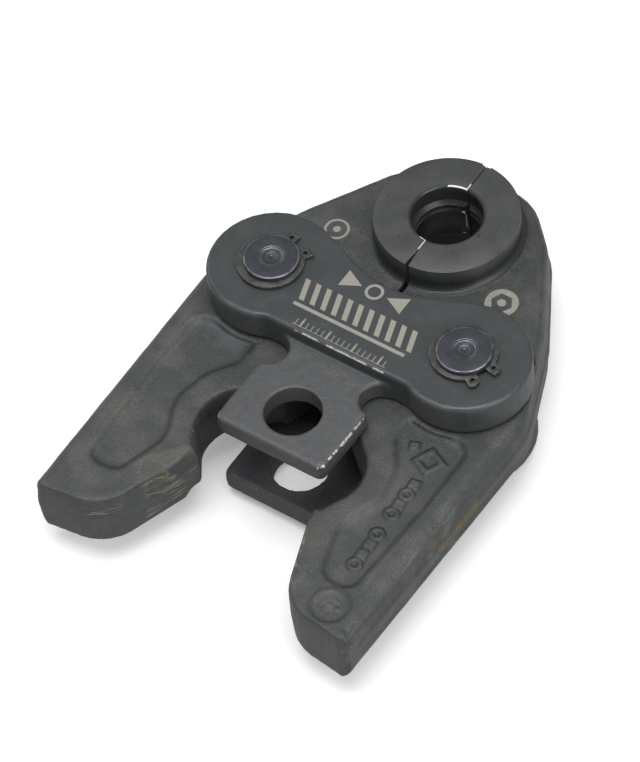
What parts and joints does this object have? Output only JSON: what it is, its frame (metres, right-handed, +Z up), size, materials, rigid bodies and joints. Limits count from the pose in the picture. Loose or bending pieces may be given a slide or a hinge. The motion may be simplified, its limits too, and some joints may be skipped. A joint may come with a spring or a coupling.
{
  "type": "press fitting tool jaw",
  "caption": "Hinged jaw for a pipe press tool: forged arms swing on pivot pins between side plates, closing a profiled press bore as cam-faced tails are spread.",
  "frame": {"origin": "under the middle of the jaw's box, on the surface that its die boss stands on", "axes": "+Y towards the nose, +Z up along the pivot pins, +X from the left pin to the right pin"},
  "size_m": [0.0948, 0.1354, 0.0373],
  "materials": {
    "forged_steel": "dark phosphated forging, worn bright along its edges",
    "plate_steel": "dark blue-grey phosphate with nicked bright edges",
    "pin_steel": "turned and blued, polished end faces",
    "spring_steel": "oiled spring steel, bright on its edges"
  },
  "bodies": {
    "frame": {"upper_side_plate": "plate_steel", "lower_side_plate": "plate_steel", "left_pivot_pin": "pin_steel", "right_pivot_pin": "pin_steel", "left_upper_retaining_ring": "spring_steel", "left_lower_retaining_ring": "spring_steel", "right_upper_retaining_ring": "spring_steel", "right_lower_retaining_ring": "spring_steel", "closing_spring": "spring_steel"},
    "left_arm": {"left_jaw_arm": "forged_steel"},
    "right_arm": {"right_jaw_arm": "forged_steel"}
  },
  "joints": [
    {"name": "left_arm_pivot", "type": "hinge", "parent": "frame", "child": "left_arm", "pos_m": [-0.0281, 0.01113, 0.0169], "axis": [0, 0, 1], "range_deg": [0, 12], "stiffness_Nm_per_rad": 1.5, "deforming": ["closing_spring"]},
    {"name": "right_arm_pivot", "type": "hinge", "parent": "frame", "child": "right_arm", "pos_m": [0.0281, 0.01113, 0.0169], "axis": [0, 0, -1], "range_deg": [0, 12], "stiffness_Nm_per_rad": 1.5, "deforming": ["closing_spring"]}
  ]
}
